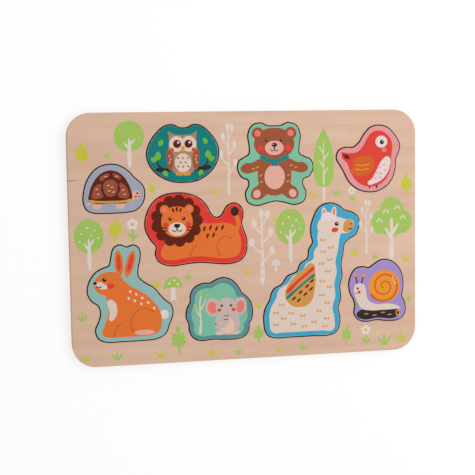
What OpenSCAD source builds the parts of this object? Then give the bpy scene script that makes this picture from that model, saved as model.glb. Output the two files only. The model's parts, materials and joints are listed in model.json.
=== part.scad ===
// Inset puzzle board with nine contour-cut pieces that lift straight out.
// Millimetres. The board lies on its back: +X along its long side, +Y towards its top edge,
// +Z out of its face. The origin is in the middle of its back, on the table.

/* [Board] */
// Length of the board, along X
board_l = 300; // [285:1:340]
// Width of the board, along Y
board_w = 210; // [200:1:240]
// Radius of the board's four corners
corner_r = 20; // [8:1:28]
// Thickness of the cut plate, which is the depth of the pockets
plate_t = 5; // [3:0.5:9]
// Thickness of the panel behind the plate
back_t = 3; // [2:0.5:6]

/* [Pieces] */
// Height of a piece that stands above the plate, for small fingers to grip
proud_h = 1; // [0.5:0.1:4]
// Gap between a piece and the wall of its pocket, all round
pocket_gap = 0.6; // [0.3:0.05:1]

/* [Layout] */
// Mean wood between the board's two ends and the bounds of the pieces beside them
end_wood = 12; // [8:0.5:16]
// Mean wood between the board's two long sides and the bounds of the pieces beside them
side_wood = 13.5; // [9:0.5:18]
// Mean room between the bounds of neighbours along the bottom row, which nest into each other
row_room = 4.5; // [2:0.5:9]
// Room between the bounds of the bear piece and those of the llama piece below it
column_room = 0.5; // [0:0.5:6]

/* [Owl] */
// Width of the owl piece
owl_w = 60; // [54:0.5:64]
// Height of the owl piece
owl_h = 47.5; // [43:0.5:51]

/* [Bear] */
// Width of the bear piece
bear_w = 65; // [58:0.5:70]
// Height of the bear piece
bear_h = 69; // [62:0.5:72]

/* [Robin] */
// Width of the robin piece
robin_w = 56.5; // [50:0.5:62]
// Height of the robin piece
robin_h = 56.5; // [50:0.5:62]

/* [Tortoise] */
// Width of the tortoise piece
tortoise_w = 50; // [44:0.5:54]
// Height of the tortoise piece
tortoise_h = 39.5; // [35:0.5:44]

/* [Lion] */
// Width of the lion piece
lion_w = 85.5; // [78:0.5:90]
// Height of the lion piece
lion_h = 60; // [54:0.5:64]

/* [Hare] */
// Width of the hare piece
hare_w = 70; // [63:0.5:74]
// Height of the hare piece
hare_h = 80; // [72:0.5:83]

/* [Elephant] */
// Width of the elephant piece
elephant_w = 56.5; // [50:0.5:62]
// Height of the elephant piece
elephant_h = 52.5; // [47:0.5:56]

/* [Llama] */
// Width of the llama piece
llama_w = 85; // [77:0.5:89]
// Height of the llama piece
llama_h = 113.5; // [104:0.5:117]

/* [Snail] */
// Width of the snail piece
snail_w = 51; // [45:0.5:54]
// Height of the snail piece
snail_h = 53; // [47:0.5:58]

/* [Hidden] */

// Straight steps along each span of a curved outline
span_steps = 5;
$fn = 96;

piece_t = plate_t + proud_h;

// The bottom row fills the board's length, and the column of the bear and the llama its width.
// The whole set grows or shrinks along each side to do so, which keeps wood between the pockets.
row_l = 2 * end_wood + hare_w + elephant_w + llama_w + snail_w + 3 * row_room;
column_w = 2 * side_wood + bear_h + llama_h + column_room;
fill = [board_l / row_l, board_w / column_w];

// Middle of each piece, as shares of the board's length and width from the board's middle
owl_at_share = [-0.182, 0.337];
bear_at_share = [0.082, 0.288];
robin_at_share = [0.356, 0.301];
tortoise_at_share = [-0.375, 0.204];
lion_at_share = [-0.148, 0.036];
hare_at_share = [-0.337, -0.21];
elephant_at_share = [-0.086, -0.289];
llama_at_share = [0.185, -0.149];
snail_at_share = [0.382, -0.245];

// Outlines, anticlockwise, as shares of each piece's own width and height from its lower left
owl_outline_share = [
    [1, 0.5], [0.97, 0.68], [0.88, 0.84], [0.77, 0.96], [0.66, 0.99], [0.57, 0.94],
    [0.46, 0.935], [0.36, 0.99], [0.24, 0.96], [0.13, 0.84], [0.04, 0.67], [0, 0.48],
    [0.05, 0.28], [0.17, 0.12], [0.34, 0.02], [0.52, 0], [0.7, 0.03], [0.86, 0.15], [0.96, 0.31]
];
bear_outline_share = [
    [1, 0.44], [0.97, 0.54], [0.88, 0.58], [0.81, 0.63], [0.815, 0.74], [0.83, 0.85],
    [0.78, 0.96], [0.67, 0.995], [0.575, 0.96], [0.48, 0.955], [0.39, 0.96], [0.3, 0.995],
    [0.19, 0.96], [0.14, 0.85], [0.155, 0.74], [0.155, 0.63], [0.09, 0.58], [0.015, 0.535],
    [0, 0.44], [0.05, 0.35], [0.13, 0.315], [0.145, 0.24], [0.1, 0.15], [0.13, 0.04],
    [0.25, 0], [0.38, 0.03], [0.5, 0.05], [0.62, 0.03], [0.75, 0], [0.87, 0.04],
    [0.9, 0.15], [0.855, 0.24], [0.87, 0.315], [0.95, 0.35]
];
robin_outline_share = [
    [1, 0.7], [0.965, 0.79], [0.9, 0.88], [0.8, 0.97], [0.67, 1], [0.54, 0.97], [0.44, 0.87],
    [0.36, 0.75], [0.26, 0.67], [0.13, 0.67], [0.03, 0.62], [0, 0.51], [0.06, 0.41],
    [0.12, 0.3], [0.19, 0.17], [0.31, 0.06], [0.47, 0.005], [0.63, 0.01], [0.78, 0.08],
    [0.88, 0.2], [0.925, 0.35], [0.935, 0.49], [0.98, 0.59]
];
tortoise_outline_share = [
    [1, 0.36], [0.985, 0.51], [0.92, 0.62], [0.83, 0.72], [0.72, 0.87], [0.56, 0.98],
    [0.38, 0.99], [0.21, 0.9], [0.085, 0.71], [0.02, 0.48], [0, 0.25], [0.05, 0.08],
    [0.17, 0.01], [0.34, 0], [0.52, 0], [0.7, 0.01], [0.85, 0.05], [0.96, 0.18]
];
lion_outline_share = [
    [1, 0.24], [0.995, 0.36], [0.965, 0.47], [0.95, 0.57], [0.965, 0.67], [0.95, 0.78],
    [0.885, 0.84], [0.815, 0.805], [0.78, 0.73], [0.745, 0.665], [0.69, 0.645],
    [0.64, 0.71], [0.6, 0.82], [0.53, 0.92], [0.42, 0.985], [0.3, 1], [0.175, 0.97],
    [0.075, 0.87], [0.015, 0.71], [0, 0.54], [0.045, 0.38], [0.105, 0.27], [0.095, 0.16],
    [0.14, 0.05], [0.25, 0], [0.39, 0.02], [0.53, 0.035], [0.67, 0.015], [0.81, 0],
    [0.925, 0.035], [0.985, 0.125]
];
hare_outline_share = [
    [1, 0.26], [0.985, 0.35], [0.92, 0.4], [0.86, 0.455], [0.78, 0.54], [0.67, 0.6],
    [0.595, 0.67], [0.595, 0.76], [0.62, 0.86], [0.615, 0.95], [0.55, 0.995], [0.47, 0.975],
    [0.39, 1], [0.315, 0.965], [0.285, 0.87], [0.26, 0.79], [0.175, 0.76], [0.085, 0.71],
    [0.02, 0.62], [0, 0.52], [0.045, 0.435], [0.12, 0.385], [0.15, 0.31], [0.13, 0.22],
    [0.085, 0.13], [0.115, 0.04], [0.22, 0], [0.4, 0], [0.6, 0], [0.8, 0.01], [0.91, 0.06],
    [0.955, 0.15]
];
elephant_outline_share = [
    [1, 0.42], [0.985, 0.55], [0.92, 0.66], [0.84, 0.73], [0.79, 0.83], [0.7, 0.94],
    [0.58, 0.99], [0.46, 0.965], [0.36, 0.91], [0.25, 0.91], [0.13, 0.85], [0.07, 0.74],
    [0.065, 0.62], [0.015, 0.52], [0, 0.38], [0.04, 0.27], [0.045, 0.16], [0.1, 0.05],
    [0.22, 0], [0.4, 0.015], [0.58, 0], [0.76, 0], [0.88, 0.04], [0.94, 0.14], [0.945, 0.24],
    [0.985, 0.31]
];
llama_outline_share = [
    [1, 0.835], [0.985, 0.895], [0.92, 0.93], [0.845, 0.945], [0.79, 0.98], [0.72, 1],
    [0.64, 0.995], [0.575, 0.965], [0.53, 0.905], [0.5, 0.835], [0.5, 0.77], [0.515, 0.71],
    [0.475, 0.655], [0.46, 0.59], [0.385, 0.55], [0.345, 0.49], [0.25, 0.46], [0.19, 0.4],
    [0.1, 0.36], [0.06, 0.28], [0.01, 0.21], [0, 0.12], [0.025, 0.035], [0.11, 0], [0.3, 0],
    [0.5, 0], [0.68, 0], [0.765, 0.035], [0.79, 0.12], [0.77, 0.2], [0.8, 0.28],
    [0.79, 0.37], [0.815, 0.45], [0.805, 0.54], [0.825, 0.62], [0.84, 0.69], [0.89, 0.73],
    [0.965, 0.765]
];
snail_outline_share = [
    [0.96, 0.6], [0.935, 0.76], [0.85, 0.9], [0.72, 0.985], [0.57, 0.995], [0.44, 0.93],
    [0.35, 0.875], [0.24, 0.895], [0.12, 0.87], [0.04, 0.77], [0, 0.63], [0.02, 0.48],
    [0.08, 0.37], [0.105, 0.26], [0.09, 0.14], [0.16, 0.04], [0.3, 0], [0.48, 0.02],
    [0.66, 0], [0.84, 0], [0.96, 0.06], [1, 0.18], [0.98, 0.3], [0.935, 0.39], [0.95, 0.49]
];

// A point of the curve that passes through b and c, t of the way from b to c
function on_span(a, b, c, d, t) =
    0.5 * (2 * b + (c - a) * t + (2 * a - 5 * b + 4 * c - d) * pow(t, 2)
           + (3 * b - a - 3 * c + d) * pow(t, 3));

// The smooth closed curve through a list of points
function smoothed(points) =
    let (n = len(points))
    [for (i = [0 : n - 1], s = [0 : span_steps - 1])
        on_span(points[(i + n - 1) % n], points[i], points[(i + 1) % n], points[(i + 2) % n],
                s / span_steps)];

// The same curve, moved outwards square to itself
function moved_out(points, gap) =
    let (n = len(points))
    [for (i = [0 : n - 1])
        let (along = points[(i + 1) % n] - points[(i + n - 1) % n])
        points[i] + gap * [along.y, -along.x] / norm(along)];

// An outline in millimetres, with its middle at its place on the board
function placed(shares, w, h, at_share) =
    smoothed([for (p = shares)
        [at_share.x * board_l + (p.x - 0.5) * w * fill.x,
         at_share.y * board_w + (p.y - 0.5) * h * fill.y]]);

owl_outline = placed(owl_outline_share, owl_w, owl_h, owl_at_share);
bear_outline = placed(bear_outline_share, bear_w, bear_h, bear_at_share);
robin_outline = placed(robin_outline_share, robin_w, robin_h, robin_at_share);
tortoise_outline = placed(tortoise_outline_share, tortoise_w, tortoise_h, tortoise_at_share);
lion_outline = placed(lion_outline_share, lion_w, lion_h, lion_at_share);
hare_outline = placed(hare_outline_share, hare_w, hare_h, hare_at_share);
elephant_outline = placed(elephant_outline_share, elephant_w, elephant_h, elephant_at_share);
llama_outline = placed(llama_outline_share, llama_w, llama_h, llama_at_share);
snail_outline = placed(snail_outline_share, snail_w, snail_h, snail_at_share);

all_outlines = [
    owl_outline, bear_outline, robin_outline, tortoise_outline, lion_outline, hare_outline,
    elephant_outline, llama_outline, snail_outline
];

// The board's rounded outline
module board_outline() {
    square([board_l - 2 * corner_r, board_w], center = true);
    square([board_l, board_w - 2 * corner_r], center = true);
    for (side = [-1, 1], end = [-1, 1])
        translate([side * (board_l / 2 - corner_r), end * (board_w / 2 - corner_r)])
            circle(corner_r);
}

// The pocket around one piece's outline
module pocket(outline) {
    polygon(moved_out(outline, pocket_gap));
}

// A loose piece, resting on the back panel in its pocket
module loose_piece(outline) {
    translate([0, 0, back_t])
        linear_extrude(piece_t)
            polygon(outline);
}

module cut_plate() {
    color([0.82, 0.69, 0.60])
        translate([0, 0, back_t])
            linear_extrude(plate_t)
                difference() {
                    board_outline();
                    for (outline = all_outlines)
                        pocket(outline);
                }
}

module back_panel() {
    color([0.80, 0.67, 0.56])
        linear_extrude(back_t)
            board_outline();
}

module owl_piece() {
    color([0.05, 0.49, 0.49]) loose_piece(owl_outline);
}

module bear_piece() {
    color([0.50, 0.74, 0.63]) loose_piece(bear_outline);
}

module robin_piece() {
    color([0.90, 0.59, 0.62]) loose_piece(robin_outline);
}

module tortoise_piece() {
    color([0.60, 0.63, 0.71]) loose_piece(tortoise_outline);
}

module lion_piece() {
    color([0.87, 0.22, 0.17]) loose_piece(lion_outline);
}

module hare_piece() {
    color([0.54, 0.71, 0.69]) loose_piece(hare_outline);
}

module elephant_piece() {
    color([0.33, 0.54, 0.56]) loose_piece(elephant_outline);
}

module llama_piece() {
    color([0.25, 0.64, 0.79]) loose_piece(llama_outline);
}

module snail_piece() {
    color([0.65, 0.55, 0.80]) loose_piece(snail_outline);
}

cut_plate();
back_panel();
owl_piece();
bear_piece();
robin_piece();
tortoise_piece();
lion_piece();
hare_piece();
elephant_piece();
llama_piece();
snail_piece();
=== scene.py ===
"""Inset puzzle: a wooden board with nine printed animal pieces that lift out of their pockets."""
import json
import math
from itertools import zip_longest

import bmesh
import bpy
from bpy.props import FloatProperty, FloatVectorProperty, IntProperty, PointerProperty
from bpy.types import NodeSocket, Operator, Panel, PropertyGroup
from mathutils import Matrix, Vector

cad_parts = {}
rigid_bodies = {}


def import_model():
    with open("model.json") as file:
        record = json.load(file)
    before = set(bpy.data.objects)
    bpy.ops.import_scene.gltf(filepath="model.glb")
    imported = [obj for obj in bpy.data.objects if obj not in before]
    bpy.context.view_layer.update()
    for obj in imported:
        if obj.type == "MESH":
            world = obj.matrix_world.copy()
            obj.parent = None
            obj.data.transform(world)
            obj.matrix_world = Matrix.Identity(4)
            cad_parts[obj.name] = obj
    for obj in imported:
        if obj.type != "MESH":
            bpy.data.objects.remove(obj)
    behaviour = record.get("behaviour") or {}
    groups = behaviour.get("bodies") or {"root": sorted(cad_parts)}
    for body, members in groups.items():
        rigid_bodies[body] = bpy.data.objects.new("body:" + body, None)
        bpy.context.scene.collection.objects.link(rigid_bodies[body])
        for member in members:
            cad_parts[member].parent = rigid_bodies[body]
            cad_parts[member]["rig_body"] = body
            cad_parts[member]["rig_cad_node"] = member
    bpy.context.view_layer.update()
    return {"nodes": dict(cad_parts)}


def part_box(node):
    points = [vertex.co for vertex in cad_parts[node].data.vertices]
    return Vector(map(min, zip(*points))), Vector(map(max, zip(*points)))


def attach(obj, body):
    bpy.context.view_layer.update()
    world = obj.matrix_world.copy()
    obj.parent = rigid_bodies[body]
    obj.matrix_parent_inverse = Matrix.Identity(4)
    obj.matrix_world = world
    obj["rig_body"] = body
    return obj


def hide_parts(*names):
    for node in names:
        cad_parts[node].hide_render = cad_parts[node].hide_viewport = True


bl_info = {
    "name": "Inset Animal Puzzle",
    "version": (1, 0, 0),
    "blender": (4, 5, 0),
    "location": "3D View > Sidebar > Puzzle",
    "description": "Finishes a wooden inset puzzle with eased edges, printed inks and burnt cuts",
    "category": "Object",
}

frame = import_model()

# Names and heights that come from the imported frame
ANIMALS = ("owl", "bear", "robin", "tortoise", "lion", "hare", "elephant", "llama", "snail")
PLATE_FOOT, PLATE_TOP = (point.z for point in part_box("cut_plate"))
PIECE_FOOT, PIECE_TOP = (point.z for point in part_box("owl_piece"))
HALF_LENGTH, HALF_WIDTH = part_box("back_panel")[1].xy

# Units: scene lengths are in metres, and drawings are measured in hundredths
MM = 0.001
PERCENT = 0.01

# How far a corner may lie from where it is looked for, how close corners are taken as one, how
# deep the rim is, and how deep the grain is felt
SLACK = 0.02 * MM
SOLID_WELD = SLACK / 10
FILM_WELD = SLACK / 200
RIM_DEPTH = 1 * MM
RELIEF_DEPTH = 0.05 * MM

# Angles between two faces that are one, that meet in a sharp edge, and that are shaded as one
FLAT_ANGLE = math.radians(0.2)
SHARP_ANGLE = math.radians(60)
SMOOTH_ANGLE = math.radians(35)

# How much of a face's normal points up: on a level face, high on an eased edge, and on a wall
LEVEL = 0.999
EASED = 0.6
WALL = 0.1

# Steps in the eased edge of the board's rim, of a loose piece's top and of a laser cut
RIM_STEPS = 5
PIECE_STEPS = 4
CUT_STEPS = 2

# The dark mineral streak at the board's left edge, and how strong the two veneers' grain is
STREAK_PLACE = (MM - HALF_LENGTH, 50 * MM, PLATE_TOP)
STREAK_REACH = (11 * MM, 0.65 * MM, 4 * MM)
STREAK_DEPTH = 0.9
FACE_CONTRAST = 0.8
BARE_CONTRAST = 1.0

# Shares of an ink step: how far the films of one layer differ in height, over how many heights,
# and how far each film reaches into the wood
LAYER_SPREAD = 0.6
LAYER_HEIGHTS = 36
FILM_ROOT = 1 / 5

# How much of the wood shows through an ink
SHOW_THROUGH = {"fern": 0.14, "lime": 0.1, "trunk": 0.2}
PLAIN_SHOW_THROUGH = 0.015
# On a loose piece's eased rim most of the ink gives way to pale wood, partly wear from sanding and partly
# a painted highlight
WORN_HIGHLIGHT_SHOW_THROUGH = 0.85

# The stage: a white table that the camera sees lifted towards white, one soft lamp and an even sky
TABLE_SIZE = 8
PAPER = (0.985, 0.985, 0.99, 1)
PAPER_ROUGHNESS = 0.9
FLOOR_LIFT = 0.74
LAMP_PLACE = (0.52, 0.26, 0.92)
LAMP_WIDTH = 1.0
LAMP_WATTS = 6.7
SKY_LEVEL = 0.62

# Where the photographer stood, in millimetres from the middle of the plate's face, and how the
# camera was turned about X, Y and Z, in degrees
CAMERA_PLACE = (-207.4, 85.1, 910.9)
CAMERA_TURN = (-5.09021, -12.3527, -0.87514)
CAMERA_LENS = 84.05
SENSOR_WIDTH = 36


def srgb(red, green, blue):
    """A colour as a paint chart gives it, from 0 to 255, in the linear values that shaders take."""
    def linear(value):
        share = value / 255
        return share / 12.92 if share <= 0.04045 else ((share + 0.055) / 1.055) ** 2.4
    return linear(red), linear(green), linear(blue), 1.0


INKS = {
    "amber": srgb(224, 143, 46), "bark": srgb(48, 38, 36), "black": srgb(32, 25, 28),
    "brown": srgb(153, 81, 52), "bush": srgb(120, 183, 153), "coral": srgb(218, 64, 48),
    "cream": srgb(217, 197, 183), "fern": srgb(154, 189, 89), "grey": srgb(192, 175, 168),
    "leaf": srgb(105, 175, 55), "lime": srgb(190, 192, 44), "orange": srgb(222, 112, 48),
    "peach": srgb(220, 167, 150), "rose": srgb(228, 118, 108), "rust": srgb(204, 92, 36),
    "scarlet": srgb(214, 64, 51), "chestnut": srgb(150, 78, 56), "skin": srgb(224, 187, 164),
    "tan": srgb(203, 144, 74), "taupe": srgb(163, 127, 101), "teal": srgb(14, 125, 125),
    "trunk": srgb(219, 204, 194), "umber": srgb(92, 31, 18), "white": srgb(221, 205, 203),
}


def colour_property(name, description, red, green, blue):
    return FloatVectorProperty(name=name, description=description, subtype="COLOR", size=4,
                               min=0, max=1, default=srgb(red, green, blue))


def ground_property(animal, red, green, blue):
    return colour_property(animal.capitalize() + " Ground", "Ink round the " + animal, red, green, blue)


def length_property(name, description, millimetres):
    return FloatProperty(name=name, description=description, unit="LENGTH", min=0,
                         precision=5, default=millimetres * MM)


class PuzzleSizes(PropertyGroup):
    """Small sizes of the puzzle's finish"""
    corner_radius: length_property("Corner Radius", "Radius of the board's four corners", 20)
    rim_round: length_property("Rim Round", "Radius of the sanded edge round the board", 0.8)
    cut_round: length_property("Cut Round", "Radius of the edges left by the laser", 0.35)
    piece_round: length_property("Piece Round", "Radius of the sanded edge on top of a loose piece", 0.5)
    ink_room: length_property("Ink Room", "Room for the stacked inks on top of a piece", 0.2)
    ink_step: length_property("Ink Step", "Thickness of one layer of ink", 0.025)
    piece_ply: length_property("Piece Ply", "Thickness of one veneer in a loose piece", 1.2)
    board_ply: length_property("Board Ply", "Thickness of one veneer in the board", 1)
    print_steps: IntProperty(name="Print Steps", description="Steps along each span of a print's edge",
                             min=2, max=24, default=6)


class PuzzleColours(PropertyGroup):
    """Colours of the puzzle's wood and of the ground that each animal is printed on"""
    wood: colour_property("Wood", "Pale face veneer", 215, 180, 156)
    streak: colour_property("Streak", "Darker lines of the grain", 186, 146, 120)
    bare: colour_property("Bare Wood", "Unprinted back and pocket floors", 208, 174, 146)
    # Pale rim colour: partly bare wood where sanding took off the ink, partly a painted highlight along a
    # piece's eased edge
    sanded_highlight: colour_property("Sanded Wood", "Pale rim where the ink is sanded off", 232, 214, 196)
    ply_long: colour_property("Ply Long", "Edge of a veneer cut along its grain", 214, 180, 150)
    ply_cross: colour_property("Ply Cross", "Edge of a veneer cut across its grain", 176, 134, 102)
    burnt: colour_property("Burnt", "Brown of a laser cut", 94, 64, 47)
    char: colour_property("Char", "Dark brown of a laser cut", 42, 29, 24)
    soot: colour_property("Soot", "Darkest brown along the lip of a cut", 24, 17, 15)
    owl: ground_property("owl", 6, 119, 119)
    bear: ground_property("bear", 124, 183, 154)
    robin: ground_property("robin", 220, 144, 149)
    tortoise: ground_property("tortoise", 156, 160, 176)
    lion: ground_property("lion", 218, 56, 45)
    hare: ground_property("hare", 140, 180, 175)
    elephant: ground_property("elephant", 85, 140, 145)
    llama: ground_property("llama", 60, 160, 194)
    snail: ground_property("snail", 158, 136, 194)


def sizes():
    return bpy.context.scene.puzzle_sizes


def colours():
    return bpy.context.scene.puzzle_colours


def pick(*objects):
    """Selects these objects alone, the last one active."""
    bpy.ops.object.select_all(action="DESELECT")
    for piece in objects:
        piece.select_set(True)
    bpy.context.view_layer.objects.active = objects[-1]


# Materials


def feed(tree, node, inputs):
    """Links each named input of a node to a socket, or sets it to a value."""
    for label, source in inputs.items():
        if isinstance(source, NodeSocket):
            tree.links.new(source, node.inputs[label])
        else:
            node.inputs[label].default_value = source


def add(tree, kind, inputs=None, **settings):
    """A new node with these settings and inputs."""
    node = tree.nodes.new(kind)
    for name, value in settings.items():
        setattr(node, name, value)
    feed(tree, node, inputs or {})
    return node


def own_place(tree):
    return add(tree, "ShaderNodeTexCoord").outputs["Object"]


def maths(tree, operation, first, second=0):
    return add(tree, "ShaderNodeMath", {0: first, 1: second}, operation=operation).outputs[0]


def times(tree, value, factor):
    return maths(tree, "MULTIPLY", value, factor)


def total(tree, *weighted):
    """The sum of sockets, each times its weight."""
    (first, weight), *others = weighted
    result = times(tree, first, weight)
    for value, weight in others:
        result = maths(tree, "ADD", result, times(tree, value, weight))
    return result


def tinted(tree, strength, base, tint):
    """A mix of two colours, from the base to the tint; inputs 0, 6 and 7 are those for colours."""
    return add(tree, "ShaderNodeMix", {0: strength, 6: base, 7: tint}, data_type="RGBA").outputs[2]


def streaks(tree, place, scale, detail, low, high):
    """Noise drawn out to the given scale along each axis, and spread from 0 to 1."""
    drawn = add(tree, "ShaderNodeMapping", {"Vector": place, "Scale": scale}).outputs["Vector"]
    noise = add(tree, "ShaderNodeTexNoise", {"Vector": drawn, "Scale": 1, "Detail": detail})
    limits = {"Value": noise.outputs["Fac"], "From Min": low, "From Max": high}
    return add(tree, "ShaderNodeMapRange", limits).outputs["Result"]


def wavering(tree, scale, reach):
    """Object coordinates pushed a little across the grain, so that its lines wander."""
    drift = times(tree, streaks(tree, own_place(tree), scale, detail=1, low=0, high=1), reach)
    push = add(tree, "ShaderNodeCombineXYZ", {"Y": drift}).outputs["Vector"]
    return add(tree, "ShaderNodeVectorMath", {0: own_place(tree), 1: push}, operation="ADD").outputs[0]


def figure(tree, place):
    """The wide, wandering lines of a peeled veneer, from 0 to 1."""
    drawn = add(tree, "ShaderNodeMapping", {"Vector": place, "Scale": (0.16, 1, 1)}).outputs["Vector"]
    bands = {"Vector": drawn, "Scale": 21, "Distortion": 14, "Detail": 2, "Detail Scale": 0.5}
    return add(tree, "ShaderNodeTexWave", bands, wave_type="BANDS", bands_direction="Y").outputs["Fac"]


def new_group(name, inputs):
    """An empty group for a finish, whose inputs are colours or numbers with these defaults."""
    tree = bpy.data.node_groups.new(name, "ShaderNodeTree")
    for label, default in inputs.items():
        kind = "NodeSocketFloat" if isinstance(default, float) else "NodeSocketColor"
        tree.interface.new_socket(label, in_out="INPUT", socket_type=kind).default_value = default
    for label, kind in (("Colour", "Color"), ("Relief", "Float"), ("Roughness", "Float")):
        tree.interface.new_socket(label, in_out="OUTPUT", socket_type="NodeSocket" + kind)
    return tree, add(tree, "NodeGroupInput").outputs


def give(tree, colour, relief, roughness):
    add(tree, "NodeGroupOutput", {"Colour": colour, "Relief": relief, "Roughness": roughness})


def grain_group():
    """Fine-grained veneer: drawn-out streaks, wandering growth bands and short dark pores."""
    tree, given = new_group("Veneer Grain", {
        "Wood": srgb(214, 180, 156), "Streak": srgb(192, 152, 124), "Contrast": 1.0})
    place = wavering(tree, scale=(5, 11, 8), reach=14 * MM)
    fine = streaks(tree, place, scale=(20, 640, 200), detail=4, low=0.32, high=0.7)
    broad = streaks(tree, place, scale=(4, 16, 20), detail=1, low=0.25, high=0.75)
    flush = streaks(tree, place, scale=(15, 85, 40), detail=3, low=0.5, high=0.7)
    pale = streaks(tree, place, scale=(11, 60, 30), detail=3, low=0.5, high=0.72)
    pores = streaks(tree, place, scale=(190, 2600, 400), detail=1, low=0.66, high=0.8)
    crack = streaks(tree, place, scale=(60, 1500, 300), detail=0, low=0.855, high=0.88)
    depth = total(tree, (fine, 0.17), (figure(tree, place), 0.13), (broad, 0.24))
    colour = tinted(tree, times(tree, depth, given["Contrast"]), given["Wood"], given["Streak"])
    for mask, strength, tint in (
            (flush, 0.34, srgb(205, 160, 140)), (pale, 0.34, srgb(222, 192, 168)),
            (pores, 0.07, srgb(130, 92, 70)), (crack, 0.35, srgb(96, 66, 50))):
        colour = tinted(tree, times(tree, mask, strength), colour, tint)
    relief = maths(tree, "SUBTRACT", times(tree, fine, 0.5), pores)
    give(tree, colour, relief, roughness=maths(tree, "ADD", times(tree, fine, 0.12), 0.44))


def ply_group():
    """The cut edge of plywood: veneers of two tones stacked along Z, with glue lines between."""
    tree, given = new_group("Ply Edge", {
        "Long": srgb(214, 180, 150), "Cross": srgb(176, 134, 102), "Foot": 0.0, "Ply": MM})
    height = add(tree, "ShaderNodeSeparateXYZ", {"Vector": own_place(tree)}).outputs["Z"]
    layer = maths(tree, "DIVIDE", maths(tree, "SUBTRACT", height, given["Foot"]), given["Ply"])
    crosswise = maths(tree, "GREATER_THAN", maths(tree, "MODULO", layer, 2), 1)
    off_middle = maths(tree, "ABSOLUTE", maths(tree, "SUBTRACT", maths(tree, "FRACT", layer), 0.5))
    glue = maths(tree, "GREATER_THAN", off_middle, 0.46)
    fibres = streaks(tree, own_place(tree), scale=(900, 900, 120), detail=3, low=0.3, high=0.7)
    tone = total(tree, (fibres, 0.35), (crosswise, 0.6), (glue, 0.3))
    give(tree, colour=tinted(tree, tone, given["Long"], given["Cross"]),
         relief=maths(tree, "SUBTRACT", fibres, glue),
         roughness=maths(tree, "ADD", times(tree, fibres, 0.15), 0.6))


def ink_group():
    """Screen-printed ink: even colour with a little mottle, opened along the grain of the wood."""
    tree, given = new_group("Printed Ink", {
        "Ink": srgb(200, 200, 200), "Wood": srgb(214, 180, 156), "Show Through": 0.12})
    place = own_place(tree)
    grain = streaks(tree, place, scale=(30, 900, 200), detail=3, low=0.42, high=0.72)
    bands = streaks(tree, place, scale=(9, 150, 80), detail=2, low=0.35, high=0.7)
    mottle = streaks(tree, place, scale=(60, 60, 60), detail=2, low=0.3, high=0.7)
    open_grain = times(tree, total(tree, (grain, 0.65), (bands, 0.35)), given["Show Through"])
    printed_ink = tinted(tree, open_grain, given["Ink"], given["Wood"])
    give(tree, colour=tinted(tree, times(tree, mottle, 0.03), printed_ink, (0, 0, 0, 1)),
         relief=grain, roughness=maths(tree, "ADD", times(tree, grain, 0.14), 0.36))


def finish_material(name, group, values, shine, bump):
    """A material whose colour, roughness and relief come from a group, set to these values."""
    made = bpy.data.materials.get(name)
    if made:
        return made
    made = bpy.data.materials.new(name)
    made.use_nodes = True
    tree = made.node_tree
    effect = add(tree, "ShaderNodeGroup", values, node_tree=bpy.data.node_groups[group]).outputs
    relief = add(tree, "ShaderNodeBump", {
        "Height": effect["Relief"], "Strength": bump, "Distance": RELIEF_DEPTH})
    feed(tree, tree.nodes["Principled BSDF"], {
        "Base Color": effect["Colour"], "Roughness": effect["Roughness"],
        "Specular IOR Level": shine, "Normal": relief.outputs["Normal"]})
    return made


def veneer(name, wood, contrast):
    values = {"Wood": wood, "Streak": colours().streak, "Contrast": contrast}
    return finish_material(name, "Veneer Grain", values, shine=0.25, bump=0.25)


def ply_edge(name, long, cross, foot, ply):
    values = {"Long": long, "Cross": cross, "Foot": foot, "Ply": ply}
    return finish_material(name, "Ply Edge", values, shine=0.2, bump=0.4)


def flat_ink(name, colour, show_through):
    values = {"Ink": colour, "Wood": colours().wood, "Show Through": show_through}
    return finish_material(name, "Printed Ink", values, shine=0.05, bump=0.1)


def worn_highlight_ink(name, colour):
    """Ink on a rim rubbed by sanding, where pale wood shows through in patches; the pale wood also paints
    a highlight along the edge.
    """
    values = {"Ink": colour, "Wood": colours().sanded_highlight, "Show Through": WORN_HIGHLIGHT_SHOW_THROUGH}
    return finish_material(name, "Printed Ink", values, shine=0.4, bump=0.1)


def add_mineral_streak(material):
    """One short dark streak in a veneer, fading from its middle along the grain."""
    tree = material.node_tree
    shader = tree.nodes["Principled BSDF"]
    wood = shader.inputs["Base Color"].links[0].from_socket
    reach = {"Vector": own_place(tree), "Location": STREAK_PLACE, "Scale": STREAK_REACH}
    inside = add(tree, "ShaderNodeMapping", reach, vector_type="TEXTURE").outputs["Vector"]
    fade = add(tree, "ShaderNodeTexGradient", {"Vector": inside}, gradient_type="SPHERICAL")
    depth = times(tree, fade.outputs["Fac"], STREAK_DEPTH)
    feed(tree, shader, {"Base Color": tinted(tree, depth, wood, srgb(90, 62, 54))})


# Wood


def copied(node, name):
    """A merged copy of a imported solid, free of its body, ready to be worked on."""
    pick(frame["nodes"][node])
    bpy.ops.object.duplicate()
    piece = bpy.context.object
    bpy.ops.object.parent_clear(type="CLEAR_KEEP_TRANSFORM")
    piece.name = name
    piece.data.name = name
    del piece["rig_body"]
    del piece["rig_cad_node"]
    piece.data.materials.clear()
    bpy.ops.object.mode_set(mode="EDIT")
    bpy.ops.mesh.select_all(action="SELECT")
    bpy.ops.mesh.remove_doubles(threshold=SOLID_WELD)
    bpy.ops.mesh.dissolve_limited(angle_limit=FLAT_ANGLE)
    bpy.ops.mesh.select_all(action="DESELECT")
    return piece


def on_rim(point):
    """True on the board's rounded outer wall."""
    radius = sizes().corner_radius
    reach_x = max(abs(point.x) - HALF_LENGTH + radius, 0)
    reach_y = max(abs(point.y) - HALF_WIDTH + radius, 0)
    return math.hypot(reach_x, reach_y) > radius - RIM_DEPTH


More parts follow.
